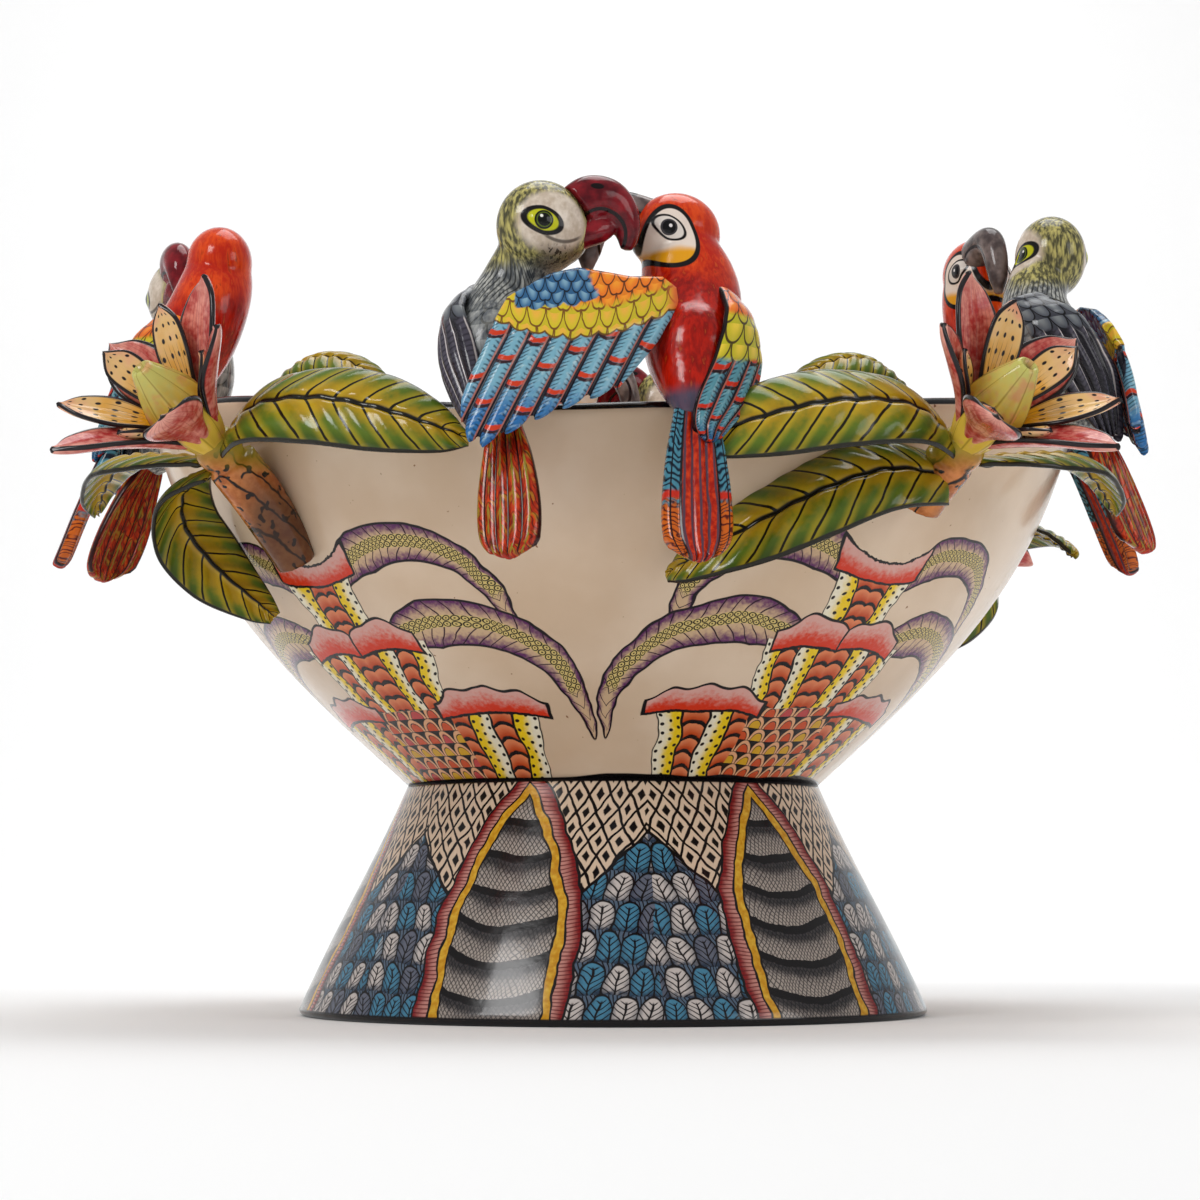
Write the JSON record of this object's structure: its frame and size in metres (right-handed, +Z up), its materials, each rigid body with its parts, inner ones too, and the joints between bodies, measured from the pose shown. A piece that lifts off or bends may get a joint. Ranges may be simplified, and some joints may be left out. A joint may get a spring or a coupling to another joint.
{
  "type": "decorative ceramic pedestal bowl",
  "caption": "Hand-painted glazed clay pedestal bowl with pairs of kissing parrots and big-leaved flowers perched round its wavy rim.",
  "frame": {"origin": "centre of the foot's resting ring, on the table", "axes": "+Z up, -Y towards the front parrot pair, +X towards the right parrot pair"},
  "size_m": [0.547, 0.542, 0.3936],
  "materials": {
    "maroon_beak_glaze": "glossy",
    "grey_body_glaze": "glossy",
    "grey_tail_glaze": "glossy",
    "grey_wing_glaze": "glossy",
    "inner_petal_glaze": "glossy",
    "leaf_glaze": "glossy",
    "outer_petal_glaze": "glossy",
    "pistil_glaze": "glossy",
    "stem_glaze": "glossy",
    "grey_beak_glaze": "glossy",
    "red_body_glaze": "glossy",
    "folded_wing_glaze": "glossy",
    "raised_wing_glaze": "glossy",
    "red_tail_glaze": "glossy",
    "bowl_glaze": "glossy",
    "foot_glaze": "glossy"
  },
  "bodies": {
    "root": {"back_grey_beak": "maroon_beak_glaze", "back_grey_body": "grey_body_glaze", "back_grey_tail": "grey_tail_glaze", "back_grey_wings": "grey_wing_glaze", "back_left_inner_petals": "inner_petal_glaze", "back_left_leaves": "leaf_glaze", "back_left_outer_petals": "outer_petal_glaze", "back_left_pistil": "pistil_glaze", "back_left_stem": "stem_glaze", "back_red_beak": "grey_beak_glaze", "back_red_body": "red_body_glaze", "back_red_folded_wing": "folded_wing_glaze", "back_red_raised_wing": "raised_wing_glaze", "back_red_tail": "red_tail_glaze", "back_right_inner_petals": "inner_petal_glaze", "back_right_leaves": "leaf_glaze", "back_right_outer_petals": "outer_petal_glaze", "back_right_pistil": "pistil_glaze", "back_right_stem": "stem_glaze", "bowl": "bowl_glaze", "foot": "foot_glaze", "front_grey_beak": "maroon_beak_glaze", "front_grey_body": "grey_body_glaze", "front_grey_tail": "grey_tail_glaze", "front_grey_wings": "grey_wing_glaze", "front_left_inner_petals": "inner_petal_glaze", "front_left_leaves": "leaf_glaze", "front_left_outer_petals": "outer_petal_glaze", "front_left_pistil": "pistil_glaze", "front_left_stem": "stem_glaze", "front_red_beak": "grey_beak_glaze", "front_red_body": "red_body_glaze", "front_red_folded_wing": "folded_wing_glaze", "front_red_raised_wing": "raised_wing_glaze", "front_red_tail": "red_tail_glaze", "front_right_inner_petals": "inner_petal_glaze", "front_right_leaves": "leaf_glaze", "front_right_outer_petals": "outer_petal_glaze", "front_right_pistil": "pistil_glaze", "front_right_stem": "stem_glaze", "left_grey_beak": "maroon_beak_glaze", "left_grey_body": "grey_body_glaze", "left_grey_tail": "grey_tail_glaze", "left_grey_wings": "grey_wing_glaze", "left_red_beak": "grey_beak_glaze", "left_red_body": "red_body_glaze", "left_red_folded_wing": "folded_wing_glaze", "left_red_raised_wing": "raised_wing_glaze", "left_red_tail": "red_tail_glaze", "right_grey_beak": "maroon_beak_glaze", "right_grey_body": "grey_body_glaze", "right_grey_tail": "grey_tail_glaze", "right_grey_wings": "grey_wing_glaze", "right_red_beak": "grey_beak_glaze", "right_red_body": "red_body_glaze", "right_red_folded_wing": "folded_wing_glaze", "right_red_raised_wing": "raised_wing_glaze", "right_red_tail": "red_tail_glaze"}
  },
  "joints": []
}
